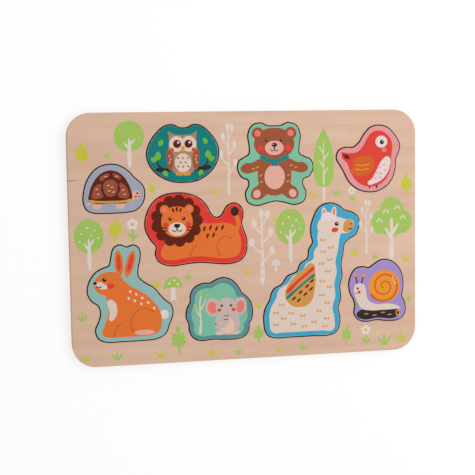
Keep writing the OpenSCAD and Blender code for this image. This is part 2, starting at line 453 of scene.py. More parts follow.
def round_edges(piece, height, rim, radius, steps):
    """Bevels the sharp edges at this height, either those of the rim or those of the cut-outs."""
    bpy.ops.mesh.select_mode(type="EDGE")
    bpy.ops.mesh.select_all(action="DESELECT")
    mesh = bmesh.from_edit_mesh(piece.data)
    for edge in mesh.edges:
        level = all(abs(end.co.z - height) < SLACK for end in edge.verts)
        sharp = edge.calc_face_angle(0) > SHARP_ANGLE
        middle = (edge.verts[0].co + edge.verts[1].co) / 2
        edge.select_set(level and sharp and on_rim(middle) == rim)
    bmesh.update_edit_mesh(piece.data)
    bpy.ops.mesh.bevel(offset=radius, segments=steps, profile=0.5, affect="EDGES")


def lower_top(piece, height, drop):
    """Moves the top face down, to leave room for the inks."""
    bpy.ops.mesh.select_mode(type="VERT")
    mesh = bmesh.from_edit_mesh(piece.data)
    for point in mesh.verts:
        point.select_set(point.co.z > height - SLACK)
    bmesh.update_edit_mesh(piece.data)
    bpy.ops.transform.translate(value=(0, 0, -drop))


def finished(piece, materials, choose):
    """Leaves edit mode, gives each face the material that choose names, and evens the shading."""
    bpy.ops.object.mode_set(mode="OBJECT")
    for material in materials:
        piece.data.materials.append(material)
    for face in piece.data.polygons:
        face.material_index = choose(face)
    bpy.ops.object.shade_smooth_by_angle(angle=SMOOTH_ANGLE)
    bpy.ops.object.modifier_add(type="WEIGHTED_NORMAL")
    piece.modifiers[-1].keep_sharp = True
    bpy.ops.object.modifier_apply(modifier=piece.modifiers[-1].name)


def plate_part(face):
    """Which material a face of the plate has: printed face, rim, pocket wall, glued back or lip."""
    rise = face.normal.z
    if on_rim(face.center):
        return 0 if rise > EASED else 1
    if rise > LEVEL:
        return 0
    if rise < -LEVEL:
        return 3
    return 2 if abs(rise) < WALL else 4


def panel_part(face):
    """Which material a face of the panel has: bare veneer or rim."""
    return 0 if abs(face.normal.z) > EASED else 1


def piece_part(face):
    """Which material a face of a loose piece has: ground, side, bare back, pale rim (sanding wear and a
    painted highlight) or scorched edge.
    """
    rise = face.normal.z
    if rise > LEVEL:
        return 0
    if rise > EASED:
        return 3
    if rise < -LEVEL:
        return 2
    return 1 if abs(rise) < WALL else 4


class PUZZLE_OT_board(Operator):
    """Finish the cut plate and the panel glued behind it"""
    bl_idname = "puzzle.board"
    bl_label = "Board"

    def execute(self, context):
        size, shade = sizes(), colours()
        face = veneer("Face Veneer", shade.wood, FACE_CONTRAST)
        add_mineral_streak(face)
        bare = veneer("Bare Veneer", shade.bare, BARE_CONTRAST)
        plate_rim = ply_edge("Plate Rim", shade.ply_long, shade.ply_cross, PLATE_FOOT, size.board_ply)
        panel_rim = ply_edge("Panel Rim", shade.ply_long, shade.ply_cross, 0, size.board_ply)
        cut = ply_edge("Pocket Wall", shade.burnt, shade.char, PLATE_FOOT, size.board_ply)
        scorched = ply_edge("Scorched Edge", shade.char, shade.soot, PLATE_FOOT, size.board_ply)

        plate = copied("cut_plate", "plate")
        round_edges(plate, PLATE_TOP, True, size.rim_round, RIM_STEPS)
        round_edges(plate, PLATE_TOP, False, size.cut_round, CUT_STEPS)
        finished(plate, (face, plate_rim, cut, bare, scorched), plate_part)
        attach(plate, "board")
        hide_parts("cut_plate")

        panel = copied("back_panel", "panel")
        round_edges(panel, 0, True, size.rim_round, RIM_STEPS)
        finished(panel, (bare, panel_rim), panel_part)
        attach(panel, "board")
        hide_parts("back_panel")
        return {"FINISHED"}


class PUZZLE_OT_pieces(Operator):
    """Finish the nine loose pieces: printed ground, burnt sides and a bare back"""
    bl_idname = "puzzle.pieces"
    bl_label = "Loose Pieces"

    def execute(self, context):
        size, shade = sizes(), colours()
        bare = veneer("Bare Veneer", shade.bare, BARE_CONTRAST)
        side = ply_edge("Piece Side", shade.burnt, shade.char, PIECE_FOOT, size.piece_ply)
        scorched = ply_edge("Scorched Edge", shade.char, shade.soot, PLATE_FOOT, size.board_ply)
        for animal in ANIMALS:
            ground = flat_ink(animal.capitalize() + " Ground", getattr(shade, animal), PLAIN_SHOW_THROUGH)
            # The pale rim is partly sanding wear and partly a painted highlight along the eased top edge
            worn_highlight_edge = worn_highlight_ink(animal.capitalize() + " Worn Highlight Edge", getattr(shade, animal))
            piece = copied(animal + "_piece", animal)
            lower_top(piece, PIECE_TOP, size.ink_room)
            round_edges(piece, PIECE_TOP - size.ink_room, False, size.piece_round, PIECE_STEPS)
            round_edges(piece, PIECE_FOOT, False, size.cut_round, CUT_STEPS)
            finished(piece, (ground, side, bare, worn_highlight_edge, scorched), piece_part)
            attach(piece, animal)
            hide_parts(animal + "_piece")
        return {"FINISHED"}


# Shapes to draw with: each is an ink and the points that its edge runs through


def corner(x, y):
    """A point where the edge turns sharply, marked by a third value."""
    return (x, y, True)


def turned(x, y, across, up, degrees):
    """The point that lies this far across and up from x and y, turned round them."""
    angle = math.radians(degrees)
    return (x + across * math.cos(angle) - up * math.sin(angle),
            y + across * math.sin(angle) + up * math.cos(angle))


def ring(x, y, radius, count, start=0):
    """Places spread evenly round a point, the first at the angle start."""
    return [turned(x, y, radius, 0, start + 360 * order / count) for order in range(count)]


def blob(ink, *points):
    """A shape with a smooth edge."""
    return (ink, list(points))


def poly(ink, *points):
    """A shape with straight sides."""
    return blob(ink, *(corner(*point) for point in points))


def oval(ink, x, y, half_width, half_height=None, turn=0):
    """An ellipse through eight points, or a circle."""
    steps = [order * math.pi / 4 for order in range(8)]
    half_height = half_height or half_width
    return blob(ink, *(turned(x, y, half_width * math.cos(step), half_height * math.sin(step), turn)
                       for step in steps))


# A leaf's edge, in shares of its length and width
LEAF_EDGE = (corner(0, 0), (0.3, -0.42), (0.62, -0.4), corner(1, 0), (0.62, 0.4), (0.3, 0.42))


def leaf(ink, x, y, length, width, turn):
    """A pointed leaf that grows from x and y."""
    return blob(ink, *(turned(x, y, point[0] * length, point[1] * width, turn) + point[2:]
                       for point in LEAF_EDGE))


def beyond(inner, outer, reach):
    """The point this far past outer, seen from inner."""
    run, rise = outer[0] - inner[0], outer[1] - inner[1]
    length = math.hypot(run, rise)
    return (outer[0] + run / length * reach, outer[1] + rise / length * reach)


def line(ink, width, *points, ends=None):
    """A drawn line with round ends, which may grow thinner towards its last point."""
    last = len(points) - 1
    far = ends or width
    left, right = [], []
    for order, (x, y) in enumerate(points):
        before, after = points[max(order - 1, 0)], points[min(order + 1, last)]
        run, rise = after[0] - before[0], after[1] - before[1]
        length = math.hypot(run, rise)
        half = (width + (far - width) * order / last) / 2
        left.append((x - rise / length * half, y + run / length * half))
        right.append((x + rise / length * half, y - run / length * half))
    start = beyond(points[1], points[0], width / 2)
    end = beyond(points[-2], points[-1], far / 2)
    return blob(ink, start, *right, end, *reversed(left))


def many(shape, ink, *each):
    """Several shapes of one kind and ink."""
    return [shape(ink, *numbers) for numbers in each]


def ticks(ink, width, length, turn, *places):
    """Short strokes, one at each place."""
    angle = math.radians(turn)
    across, up = math.cos(angle) * length / 2, math.sin(angle) * length / 2
    return [line(ink, width, (x - across, y - up), (x + across, y + up)) for x, y in places]


def pair(shape, middle):
    """A shape and its mirror image across an upright line."""
    ink, points = shape
    return [shape, blob(ink, *reversed([(2 * middle - point[0],) + point[1:] for point in points]))]


# Animals: layers of shapes, in hundredths of the piece's width from its lower left corner


def owl():
    perch = [line("bark", 4.5, (13, 17.5), (30, 17), (60, 16.5), (87.5, 20)),
             line("bark", 2.4, (78, 18.5), (84, 26), (86, 33), ends=1.4),
             line("bark", 2.2, (21, 17), (15, 25), (14, 31), ends=1.4)]
    perch += many(leaf, "leaf", (14, 30, 13, 10, 80), (13.5, 29, 10, 8, 150), (22, 16, 10, 7.5, -50),
                  (86, 32, 12, 9.5, 95), (85.5, 30, 10, 8, 20), (77, 16.5, 9.5, 7.5, -120),
                  (17, 50, 10, 7.5, 60), (84, 52, 10, 7.5, 120))
    body = [blob("taupe", (50, 10), (61, 12), (69, 21), (71.5, 34), (70, 48), (69, 59), corner(70.5, 70),
                 (61, 65.8), (50, 64.8), (39, 65.8), corner(29.5, 70), (31, 59), (30, 48), (28.5, 34),
                 (31, 21), (39, 12))]
    wing = blob("brown", (28.5, 44), (32.5, 43), (36, 37), (36.5, 27), (34, 18), (31.5, 16), (28.5, 23),
                (27, 34.5))
    plumage = many(oval, "cream", (41.5, 52.5, 10.5, 10.8), (58.5, 52.5, 10.5, 10.8), (50, 26.5, 11.5, 13))
    plumage += pair(wing, 50)
    plumage += [oval("amber", toe, 11.5, 1.6, 3) for toe in (41.5, 44.8, 48.1, 51.9, 55.2, 58.5)]
    marks = many(oval, "umber", (42, 52.5, 5.6), (58, 52.5, 5.6))
    marks += [poly("amber", (50, 40), (53.3, 47.8), (50, 50), (46.7, 47.8))]
    marks += many(oval, "coral", (35, 44.5, 2.6), (65, 44.5, 2.6))
    marks += ticks("brown", 1.2, 3, -35, (43, 33), (50, 33), (57, 33), (46.5, 27), (53.5, 27), (43, 21.5),
                   (50, 21), (57, 21.5))
    marks += ticks("peach", 1.1, 3, 65, (31, 36), (31, 27), (32.5, 31.5))
    marks += ticks("peach", 1.1, 3, 115, (69, 36), (69, 27), (67.5, 31.5))
    glints = many(oval, "white", (43.7, 54.5, 1.6), (59.7, 54.5, 1.6))
    return [perch, body, plumage, marks, glints]


def bear():
    middle = 48.5
    body = pair(oval("brown", 26.5, 92.5, 7.8), middle)
    body += pair(line("brown", 12.5, (33, 54), (20, 49), (9.5, 47.5)), middle)
    body += pair(line("brown", 17, (38, 25), (30, 18), (24.5, 14.5)), middle)
    body += many(oval, "brown", (middle, 38.5, 22.5, 27), (middle, 79, 27, 20.5))
    pale = pair(oval("rose", 26.5, 92.5, 4.2), middle)
    pale += many(oval, "peach", (middle, 36, 13.5, 16), (middle, 73.5, 12.5, 9.2))
    pale += pair(oval("peach", 24.5, 14.5, 4.8, 5.5, -30), middle)
    pale += pair(oval("coral", 30, 73.5, 4.2), middle)
    pale += many(oval, "black", (38.5, 83.5, 2.2), (58.5, 83.5, 2.2))
    scarf = [line("teal", 5, (31.5, 61.5), (40, 58), (middle, 56.8), (57, 58), (65.5, 61.5)),
             blob("teal", (middle, 58.5), corner(44, 49), (middle, 50.5), corner(53, 49))]
    muzzle = [oval("black", middle, 77.5, 3.6, 2.6), line("black", 1, (middle, 76), (middle, 71.5)),
              line("black", 1, (44, 71), (46, 69.5), (middle, 70.8), (51, 69.5), (53, 71))]
    glints = many(oval, "white", (39.1, 84.2, 0.7), (59.1, 84.2, 0.7), (middle - 1.2, 78.2, 1, 0.6))
    fur = ticks("amber", 1.2, 3.5, 20, (26, 49), (20, 47), (71, 50.5), (77, 48), (30, 38), (67, 38),
                (31, 30), (66, 30))
    return [body, pale, scarf + muzzle, glints + fur]


def robin():
    body = [poly("amber", (85, 74), (85, 64.5), (95.5, 69)), line("umber", 2, (52, 12), (52, 5.5)),
            line("umber", 2, (63, 12), (63, 5.5)),
            blob("scarlet", (88.5, 68), (86.5, 78), (79.5, 87), (68, 92.5), (56.5, 90), (48.5, 81.5),
                 (42, 70), (33, 61), (21, 59), corner(7.5, 61), corner(8, 51.5), (16, 44), (20.5, 33),
                 (27, 21), (37, 12), (49, 8), (62, 8.5), (74.5, 15), (82.5, 26), (86.5, 40), (87, 54))]
    plumage = [blob("white", (85, 50), (84.5, 38), (80, 27), (72, 18), (61, 12.5), (49, 12), (56, 20),
                    (62, 30), (67, 40), (73, 48.5), (80, 53)),
               oval("white", 71, 75.5, 9.5, 9),
               blob("rust", (27, 48), (36, 53.5), (48, 55), (57, 51), (60, 42), (55.5, 32), (46, 25),
                    (35, 23.5), corner(20, 30), (25, 38))]
    marks = [oval("black", 72, 75, 3.4), oval("rose", 75.5, 63, 4.2, 3.2),
             line("amber", 1.4, (30, 41), (42, 40), (51, 42)),
             line("amber", 1.4, (30, 34.5), (41, 33), (50, 35)), line("umber", 2, (10, 56), (19, 54.5)),
             line("umber", 2, (12, 53), (20, 51))]
    marks += ticks("rose", 1.2, 3, 10, (68, 36), (75, 40), (70, 27), (77, 32), (61, 20), (64, 28),
                   (69, 21))
    return [body, plumage, marks, [oval("white", 73.1, 76.2, 1)]]


def tortoise():
    limbs = [line("peach", 8.5, (72, 20), (80, 24), (85, 28))]
    limbs += many(oval, "peach", (86.5, 28.5, 7.5, 6.8), (22, 11.5, 7.5, 5.5), (60, 11.5, 7.5, 5.5))
    limbs += [leaf("peach", 12, 16, 9, 5, 195)]
    dome = [blob("umber", (9, 20), (10, 34), (16.5, 50), (27, 62.5), (40, 69), (53, 68), (65, 60.5),
                 (73.5, 48), (78.5, 34), (79, 21.5), (72, 16.5), (44, 15.5), (16, 16))]
    scutes = [line("tan", 3.8, (10, 20), (20, 18.5), (44, 17.8), (68, 18.5), (78, 20.5))]
    scutes += many(blob, "chestnut",
                   ((34.5, 50), (44, 54.5), (54, 50), (55.5, 38), (50, 28), (38.5, 28), (33, 38)),
                   ((29, 47), (28.5, 37), (32, 27), (24, 23.5), (14.5, 24.5), (15, 35), (20, 44.5)),
                   ((59.5, 48), (60.5, 38), (56.5, 27.5), (64.5, 23.5), (73.5, 25), (73, 35), (68, 44.5)),
                   ((30, 52.5), (37, 57), (43, 60), (42, 64), (35, 63), (27, 57.5)),
                   ((49, 60), (55, 56), (60, 54), (62, 57), (56, 62.5), (49.5, 64)))
    face = [oval("black", 88.5, 31, 1.6), oval("coral", 85.5, 25.5, 2),
            line("umber", 1, (89.5, 26.2), (91, 25.6), (92.2, 26.5))]
    marks = ticks("peach", 1.2, 3.5, 15, (41, 45), (47, 42), (42, 36), (49, 34), (22, 39), (24, 31),
                  (65, 37), (67, 30), (37, 59.5), (55, 59.5))
    return [limbs, dome, scutes + face, marks]


def lion():
    middle = 31
    body = [blob("orange", (42, 44), (52, 41.5), (62, 40), (71, 40), (80, 40), (88, 36.5), (93, 28),
                 (94.5, 17), (91.5, 8.5), (81, 5.2), (67, 6.2), (53, 8), (39, 6.8), (25, 5.2), (17, 7),
                 (14.5, 12.5), (20, 22), (30, 30)),
            line("orange", 3.6, (89, 30), (91.8, 40), (89.5, 48))]
    mane = [oval("bark", 88.5, 51, 4, 4.5)]
    mane += [oval("umber", *place, 5.6) for place in ring(middle, 43.5, 20, 13)]
    mane += [oval("umber", middle, 43.5, 20.5),
             line("rust", 1.2, (74, 7.5), (70.5, 14), (72, 22), (78, 26.5), (85, 25)),
             line("rust", 1.2, (43, 8.5), (45, 14), (50, 19))]
    mane += ticks("umber", 1.4, 4, 70, (58, 35), (64, 36), (70, 34.5), (76, 35.5), (61, 28), (67, 28.5))
    head = pair(oval("orange", 19, 54.5, 4.5), middle)
    head += [oval("orange", middle, 42.5, 15.5, 15)]
    features = pair(oval("rose", 18.8, 54.7, 2.4), middle)
    features += [oval("cream", middle, 35.5, 8.5, 6.5)]
    features += pair(oval("coral", 20, 39.5, 2.8), middle)
    features += pair(oval("black", 24.5, 45.5, 1.75), middle)
    features += [line("umber", 2, (middle, 56), (middle, 52.5), ends=0.8)]
    features += pair(line("umber", 1.8, (27, 55), (28, 52), ends=0.7), middle)
    muzzle = [blob("black", (middle, 36.5), (34, 39.5), (middle, 40.5), (28, 39.5)),
              line("black", 0.8, (middle, 37), (middle, 34.5)),
              line("black", 0.8, (26.5, 34.5), (28.5, 33), (middle, 34.2), (33.5, 33), (35.5, 34.5))]
    muzzle += [line("black", 0.7, *whisker)
               for whisker in (((21, 36.5), (16.5, 37)), ((21.5, 34.5), (17, 33.5)),
                               ((41, 36.5), (45.5, 37)), ((40.5, 34.5), (45, 33.5)))]
    muzzle += pair(oval("white", 25, 46.1, 0.5), middle)
    return [body, mane, head, features, muzzle]


def hare():
    body = many(oval, "orange", (37.2, 93, 5, 15.5, 3), (50.5, 92, 5, 16, -16))
    body += [oval("white", 90, 30, 5.5),
             blob("orange", (43, 72), (50, 66), (60, 60.5), (70, 53.5), (79, 44), (85, 34), (87, 22),
                  (84, 11), (75, 6), (58, 5.2), (40, 5.2), (25, 5.2), (16.5, 8.5), (18.5, 19), (23, 31),
                  (23.5, 42), (21.5, 53), (20, 62), (30, 74)),
             oval("orange", 25, 69.5, 17.5, 14, 8)]
    coat = many(oval, "coral", (37.2, 94, 2.4, 10, 3), (50.8, 93, 2.4, 10.5, -16))
    coat += many(blob, "cream", ((24, 50), (31, 48), (34, 38), (31, 28), (26, 25), (25, 36)),
                 ((8, 70), (12, 65.5), (19, 63), (23.5, 65), (20, 69), (13.5, 72)))
    coat += [line("rust", 1.4, (53, 10), (50, 20), (54, 32), (66, 38), (78, 34)),
             line("rust", 1.4, (30, 7), (32, 15), (38, 21)), oval("peach", 66, 9.5, 12, 3)]
    face = many(oval, "black", (20, 74.5, 2.4), (8.8, 70.5, 2.2, 1.8))
    face += [oval("coral", 27, 66.5, 4.2, 3.4), line("umber", 0.9, (10, 67), (13, 65.5), (16, 66.5))]
    spots = [oval("white", *place, 1.3, 1.8, 30)
             for place in ((50, 59), (57, 55.5), (64, 51), (71, 45), (55, 48), (63, 44), (48, 51),
                           (78, 38))]
    return [body, coat, face + spots, [oval("white", 20.7, 75.3, 0.7)]]


def elephant():
    bush = [blob("bush", (92, 30), (92.5, 40), (90.5, 50), (84, 58), (77, 64), (73, 74), (65, 82),
                 (56, 85), (46, 83), (38, 78), (27, 78), (18, 74), (13, 66), (13, 56), (8, 46), (7.5, 35),
                 (10.5, 25), (11, 14), (17, 7.5), (40, 7), (60, 7), (80, 7), (86.5, 13), (87, 22))]
    body = [line("cream", 3, (20, 10), (21.5, 30), (20, 50), (22, 68), ends=1.4),
            line("cream", 1.8, (21, 46), (27, 56), (29, 64), ends=1),
            line("cream", 1.8, (21, 36), (15.5, 44), (14.5, 50), ends=1)]
    body += many(leaf, "fern", (29, 63, 9, 6, 60), (22, 67, 9, 6, 95), (14.5, 49, 8, 5.5, 110))
    body += many(oval, "grey", (62, 25, 19, 18.5), (50, 10.5, 7.5, 4), (74, 10.5, 7.5, 4))
    ears = many(oval, "grey", (40, 49, 11.5, 14, 12), (81, 49, 10.5, 14, -12))
    ears += [oval("skin", 62, 20, 11, 11.5)]
    ears += [oval("cream", foot + 3.5 * toe, 9.2, 1.3, 1.7) for foot in (46, 70.5) for toe in range(3)]
    inner_ears = many(oval, "rose", (39.2, 48.5, 6.8, 9.2, 12), (81.8, 48.5, 6, 9.2, -12))
    head = [oval("grey", 60.5, 48, 16, 15),
            line("grey", 10.5, (60.5, 44), (60, 33), (57.5, 23.5), (50, 20), (44, 22.5), ends=6)]
    face = many(oval, "black", (53.5, 51, 2), (67.5, 51, 2))
    face += many(oval, "coral", (49.5, 44.5, 3, 2.6), (71.5, 44.5, 3, 2.6))
    face += [line("umber", 0.9, (57, 36), (60.5, 35), (64, 36)),
             line("umber", 0.9, (56.2, 30.5), (59.5, 29.5), (63, 30.5)),
             oval("umber", 43.7, 22.8, 1, 1.4, 60)]
    glints = many(oval, "white", (54.2, 51.8, 0.6), (68.2, 51.8, 0.6))
    return [bush, body, ears, inner_ears, head, face, glints]


def llama():
    body = many(oval, "cream", (63.5, 123.5, 2.8, 6.5, 6), (73.5, 124, 2.8, 6.5, -8))
    body += many(blob, "cream",
                 ((72, 5.5), (73.5, 16), (71.5, 28), (74.5, 40), (73.5, 52), (76, 64), (75, 75),
                  (77.5, 86), (79, 97), (80, 105), (70, 110), (59, 109), (56, 100), (56.5, 92), (52.5, 86),
                  (51.5, 78.5), (44, 73.5), (40, 66), (30.5, 62), (24.5, 54.5), (16, 49), (12, 39),
                  (6.5, 29), (5.5, 16), (8, 6), (20, 5), (45, 5), (60, 5)),
                 ((56, 110), (60, 119), (69, 122.5), (78, 120), (86, 117.5), (93.5, 116), (94.5, 110),
                  (90, 104.5), (82, 103), (70, 103), (60, 104)))
    blanket = many(oval, "rose", (63.5, 124, 1.2, 4.2, 6), (73.5, 124.5, 1.2, 4.2, -8))
    blanket += many(blob, "tan",
                    ((86.5, 116.5), (93, 115.5), (94.5, 110), (90, 104.8), (84.5, 105), (83.5, 111)),
                    ((25.5, 53.5), (33, 62.5), (42, 69), (50, 74), (53.5, 62), (53, 48), (48, 34),
                     (38, 30), (27, 33), (22, 43)))
    blanket += [blob("white", (60, 120), (62, 116), (65.5, 117.5), (68.5, 115), (71, 118), (74.5, 116.5),
                     (75.5, 120.5), (72, 123), (69, 125), (65.5, 125), (62, 123.5))]
    marks = [line("coral", 3, (24.5, 46), (35, 56), (46, 64.5), (51.5, 69)),
             line("teal", 2.2, (23.5, 39.5), (35, 49), (46, 57.5), (52.5, 62)),
             oval("black", 76.5, 113, 2.1), oval("coral", 74.5, 107, 3.6, 2.4, 8),
             line("umber", 0.8, (88.5, 108), (90.5, 107), (92.5, 108.2)),
             oval("umber", 91.5, 112.5, 1, 0.7)]
    marks += ticks("umber", 1.3, 4, 42, (31, 39), (38, 45), (45, 51), (50, 56), (36, 37), (43, 43),
                   (49, 48))
    curls = ((62, 98), (70, 90), (62, 86), (69, 78), (60, 74), (67, 66), (61, 56), (68, 50), (60, 42),
             (66, 34), (57, 26), (65, 18), (12, 26), (18, 34), (20, 20), (12, 14), (28, 25), (30, 14),
             (40, 22), (42, 11), (52, 15), (63, 10))
    marks += [line("tan", 1.1, (x - 2.5, y), (x - 1.2, y - 1.6), (x, y - 0.2), (x + 1.2, y - 1.6),
                   (x + 2.5, y))
              for x, y in curls]
    return [body, blanket, marks, [oval("white", 77.1, 113.7, 0.6)]]


def spiral(x, y, outer, inner, start, turns, count):
    """Points along a coil round x and y, from its mouth at the angle start to its middle."""
    for order in range(count):
        share = order / (count - 1)
        yield turned(x, y, outer + (inner - outer) * share, 0, start + 360 * turns * share)


def snail():
    log = [line("bark", 15, (20, 12.5), (50, 13), (84, 12.5)), leaf("leaf", 13, 27, 13, 10, 60),
           line("umber", 2, (15.5, 63), (12.5, 73), (11.5, 79)),
           line("umber", 2, (21, 64), (23.5, 73), (25, 78)), oval("amber", 11.5, 80, 2.8),
           oval("amber", 25.2, 79, 2.8)]
    body = [blob("cream", corner(92.5, 19.5), (86, 25), (70, 29), (45, 30), (33, 38), (30, 50), (27.5, 61),
                 (19, 66.5), (10.5, 63), (8, 54), (10.5, 43), (15, 32), (22, 22.5), (34, 19), (60, 18.5)),
            oval("tan", 87, 12.5, 4, 6.2)]
    coil = [line("rust", 3.4, *spiral(62.5, 59.5, 27.5, 3, -150, 2.1, 26), ends=1.8),
            oval("black", 15, 57.5, 2), oval("coral", 17.5, 51, 2.7),
            line("umber", 0.9, (10.5, 50), (12, 48.7), (13.8, 49.3)), oval("umber", 87, 12.5, 2, 3.4)]
    coil += ticks("taupe", 1.4, 7, 2, (30, 13), (45, 10), (60, 14), (72, 10))
    glints = [oval("white", 15.7, 58.2, 0.6)]
    glints += ticks("white", 1.2, 3.5, 60, (78, 74), (80, 69), (82, 64))
    return [log, body, [oval("amber", 62.5, 59.5, 28)], coil, glints]


DRAWINGS = {draw.__name__: draw
            for draw in (owl, bear, robin, tortoise, lion, hare, elephant, llama, snail)}


# Plants: layers of shapes, in hundredths of a plant's width and height from its foot


class Plant:
    """Where a plant stands, in millimetres from the middle of the board, and how large it is."""

    def __init__(self, x, y, height, width=None):
        self.x = x
        self.y = y
        self.height = height * PERCENT
        self.width = (width or height) * PERCENT

    def at(self, across, up):
        return (self.x + across * self.width, self.y + up * self.height)

    def blob(self, ink, *points):
        return blob(ink, *(self.at(*point[:2]) + point[2:] for point in points))

    def line(self, ink, width, *points, ends=None):
        far = ends and ends * self.width
        return line(ink, width * self.width, *(self.at(*point) for point in points), ends=far)

    def oval(self, ink, across, up, half_width, half_height=None):
        tall = half_height and half_height * self.height
        return oval(ink, *self.at(across, up), half_width * self.width, tall)

    def leaf(self, ink, across, up, length, width, turn):
        return leaf(ink, *self.at(across, up), length * self.height, width * self.height, turn)


def poplar(x, y, height, width):
    """A tall crown like a flame on a thin trunk, with a branching vein."""
    tree = Plant(x, y, height, width)
    trunk = [tree.line("trunk", 10, (0, 0), (0, 30), ends=6)]
    crown = [tree.blob("fern", corner(0, 100), (30, 83), (48, 62), (50, 42), (33, 24), (0, 19),
                       (-33, 24), (-50, 42), (-48, 62), (-30, 83))]
    veins = [tree.line("trunk", 6, (0, 22), (0, 50), (0, 80), ends=3)]
    veins += [tree.line("trunk", 4.5, (0, up), (side, up + 10), ends=3)
              for up, side in ((36, 22), (46, -22), (56, 22), (65, -22))]
    return [trunk, crown, veins]


def cloud_tree(x, y, height, width):
    """A puffy crown on a forked trunk."""
    tree = Plant(x, y, height, width)
    crown = many(tree.oval, "fern", (0, 72, 30, 26), (-27, 58, 23, 19), (27, 58, 23, 19), (0, 52, 32, 17))
    fork = [tree.line("trunk", 9, (0, 0), (0, 35), (0, 62), ends=5),
            tree.line("trunk", 5, (0, 36), (16, 54), ends=3),
            tree.line("trunk", 5, (0, 30), (-15, 48), ends=3)]
    marks = [tree.line("trunk", 3, (left, up), (left + 6, up + 4.5), (left + 12, up))
             for left, up in ((-20, 72), (8, 78), (22, 62), (-36, 58))]
    return [crown, fork, marks]


def birch(x, y, height, width):
    """A bare pale tree with side branches and round leaves."""
    tree = Plant(x, y, height, width)
    trunk = [tree.line("trunk", 12, (0, 0), (1, 50), (-2, 100), ends=4)]
    leaves = []
    for up, reach in ((30, 36), (42, -38), (56, 32), (68, -28), (80, 20)):
        trunk.append(tree.line("trunk", 6, (0, up), (0.6 * reach, up + 6), (reach, up + 15), ends=3))
        leaves.append(tree.oval("trunk", reach, up + 15, 10, 6))
    leaves.append(tree.oval("trunk", -2, 97, 9, 6))
    marks = [tree.line("fern", 2.5, (-4, up), (2, up + 0.8)) for up in (10, 20, 33, 47)]
    return [trunk + leaves, marks]


def round_tree(x, y, height, width, dots):
    """A round crown with a few dots."""
    tree = Plant(x, y, height, width)
    crown = [tree.oval("fern", 0, 66, 50, 34)]
    fork = [tree.line("trunk", 10, (0, 0), (0, 60), ends=5),
            tree.line("trunk", 5, (0, 45), (18, 60), ends=3),
            tree.line("trunk", 5, (0, 38), (-18, 52), ends=3)]
    fruit = many(tree.oval, dots, (-25, 72, 3.5), (-5, 84, 3.5), (20, 78, 3.5), (32, 62, 3.5),
                 (-32, 56, 3.5), (8, 68, 3.5))
    return [crown, fork, fruit]


def fern(x, y, height, ink, turn=0):
    """A frond of paired leaflets."""
    plant = Plant(x, y, height)
    lean = 90 + turn

    def along(way):
        return turned(0, 0, way, 0, lean)
    frond = [plant.line(ink, 7, along(0), along(50), along(85), ends=3),
             plant.leaf(ink, *along(72), 30, 20, lean)]
    for way, length in ((25, 36), (42, 34), (58, 30)):
        frond += [plant.leaf(ink, *along(way), length, 18, lean + side) for side in (-55, 55)]
    return [frond]


def tuft(x, y, height, ink):
    """Three blades of grass."""
    blades = ((corner(-20, 0), corner(-55, 62), (-22, 36), corner(-6, 0)),
              (corner(-14, 0), corner(0, 100), corner(14, 0)),
              (corner(6, 0), (22, 36), corner(55, 70), corner(20, 0)))
    return [many(Plant(x, y, height).blob, ink, *blades)]


def flower(x, y, height):
    """A small flower with five round petals."""
    plant = Plant(x, y, height)
    stalk = [plant.line("fern", 7, (0, 0), (3, 40), (0, 75)),
             plant.leaf("fern", 0, 10, 34, 16, 40), plant.leaf("fern", 0, 18, 30, 15, 140)]
    blossom = [plant.oval("white", *place, 11.5) for place in ring(0, 78, 15, 5, start=90)]
    return [stalk, blossom, [plant.oval("lime", 0, 78, 8)]]


def toadstool(x, y, height, cap, dots):
    """A domed cap with three dots on a stout stem."""
    plant = Plant(x, y, height)
    stem = [plant.blob("trunk", corner(-14, 0), (-10, 30), corner(-12, 60), corner(12, 60), (10, 30),
                       corner(14, 0))]
    dome = [plant.blob(cap, corner(-42, 50), (-30, 85), (0, 100), (30, 85), corner(42, 50), (0, 55))]
    marks = many(plant.oval, dots, (-15, 72, 5.5), (5, 84, 5), (20, 68, 5))
    return [stem, dome, marks]


def meadow():
    """All plants between the pockets, taken together level by level."""
    plants = (
        round_tree(-99, 61, 37, 25, "lime"),
        fern(-137, 62, 19, "lime", 4), tuft(-117, 68, 8, "fern"),
        birch(-16, 36, 58, 16), tuft(-29, 36, 8, "lime"),
        fern(-80, 37, 10, "lime", 14),
        poplar(67, 28, 62, 18), tuft(57.5, 30, 8, "lime"),
        tuft(78, 32, 9, "fern"), fern(142, 32, 18, "lime", 3),
        cloud_tree(128, -23, 54, 37),
        birch(105, -19, 46, 14), tuft(94, -20, 8, "lime"),
        tuft(113, -24, 7, "fern"), tuft(141, -27, 9, "lime"),
        flower(92, 26, 13),
        birch(12, -41, 62, 24),
        round_tree(37, -23, 45, 26, "trunk"), tuft(-1, -33, 8, "lime"),
        toadstool(24, -31, 10, "white", "fern"), tuft(24, 12, 7, "lime"),
        round_tree(-134, -23, 41, 24, "trunk"),
        fern(-113, -1, 20, "lime", -6), flower(-98, -1, 18),
        toadstool(-65, -52, 20, "fern", "trunk"), tuft(-79, -41, 8, "lime"),
        tuft(-52, -35, 8, "fern"), fern(-60.5, -97, 23, "fern", 3), tuft(-76, -100, 9, "lime"),
        tuft(-141, -66, 9, "fern"), tuft(-139, -100, 8, "lime"), tuft(-113, -100, 10, "fern"),
        fern(8, -92, 16, "fern"), tuft(9, -62, 8, "lime"), tuft(-33, -101, 9, "lime"),
        tuft(-10, -101, 8, "fern"), tuft(47, -101, 9, "fern"), tuft(26, -101, 7, "lime"),
        fern(86, -97, 16, "fern", -4), flower(104, -99, 17),
        tuft(121, -100, 13, "fern"), tuft(137, -98, 11, "lime"), tuft(143.5, -62, 7, "fern"),
    )
    return [sum(level, []) for level in zip_longest(*plants, fillvalue=[])]


# Prints


